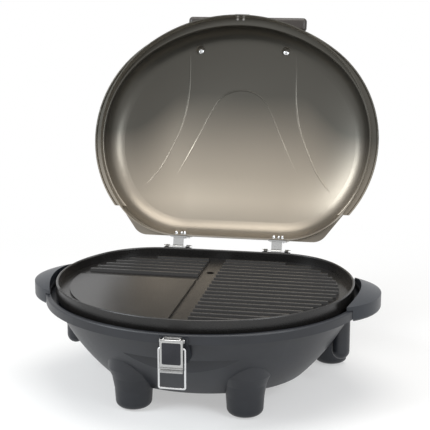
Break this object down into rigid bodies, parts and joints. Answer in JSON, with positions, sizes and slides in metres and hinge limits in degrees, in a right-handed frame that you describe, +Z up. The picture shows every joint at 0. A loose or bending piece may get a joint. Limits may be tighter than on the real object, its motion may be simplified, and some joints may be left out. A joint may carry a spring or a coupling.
{
  "type": "electric indoor grill with lid",
  "caption": "Table-top electric grill with a D-shaped cast plate in a moulded bowl, a hinged lid held shut by a toggle latch, side grips, and a heating loop and drip cup under the plate.",
  "frame": {"origin": "on the table, under the middle of the plate's round part, in the plane of the rubber pads", "axes": "+X to the user's right, +Y from the latch to the hinges, +Z up"},
  "size_m": [0.517, 0.6209, 0.5242],
  "materials": {
    "charcoal_plastic": "satin, moulded",
    "grip_plastic": "satin, moulded",
    "dark_brown_plastic": "satin, moulded",
    "black_rubber": "matte",
    "nonstick_coating": "satin, sprayed over a casting",
    "champagne_metal": "satin, metallic",
    "stainless_steel": "brushed",
    "bright_steel": "polished",
    "plated_screw": "plated",
    "pan_sheet": "satin sheet",
    "heater_tube": "oxidised",
    "contact_brass": "plain",
    "inlet_phenolic": "moulded"
  },
  "bodies": {
    "base": {"base_bowl": "charcoal_plastic", "foot_pads": "black_rubber", "handle_left": "grip_plastic", "handle_right": "grip_plastic", "handle_screws": "plated_screw", "reflector_pan": "pan_sheet", "pan_screws": "plated_screw", "heating_element": "heater_tube", "element_clips": "stainless_steel", "inlet_socket": "inlet_phenolic", "inlet_pins": "contact_brass", "probe_tube": "stainless_steel", "hinge_base_leaves": "stainless_steel", "hinge_base_screws": "plated_screw", "hinge_pins": "bright_steel", "latch_bracket": "stainless_steel", "bracket_rivets": "bright_steel", "lever_pin": "bright_steel"},
    "lid": {"lid_shell": "champagne_metal", "lid_handle": "dark_brown_plastic", "lid_handle_screws": "bright_steel", "hinge_lid_leaves": "stainless_steel", "hinge_lid_bolts": "bright_steel", "latch_catch": "stainless_steel", "catch_rivets": "bright_steel"},
    "plate": {"grill_plate": "nonstick_coating"},
    "cup": {"drip_cup": "pan_sheet"},
    "lever": {"latch_lever": "stainless_steel"},
    "bail": {"latch_bail": "bright_steel"}
  },
  "joints": [
    {"name": "lid_hinge", "type": "hinge", "parent": "base", "child": "lid", "pos_m": [0, 0.183, 0.154], "axis": [-1, 0, 0], "range_deg": [-108, 0]},
    {"name": "plate_lift", "type": "slide", "parent": "base", "child": "plate", "axis": [0, 0, 1], "range_m": [0, 0.03]},
    {"name": "cup_lift", "type": "slide", "parent": "base", "child": "cup", "axis": [0, 0, 1], "range_m": [0, 0.02]},
    {"name": "lever_pivot", "type": "hinge", "parent": "base", "child": "lever", "pos_m": [0, -0.2225, 0.138], "axis": [-1, 0, 0], "range_deg": [0, 80]},
    {"name": "bail_pivot", "type": "hinge", "parent": "lever", "child": "bail", "pos_m": [0, -0.225, 0.1285], "axis": [-1, 0, 0], "range_deg": [0, 100]}
  ]
}
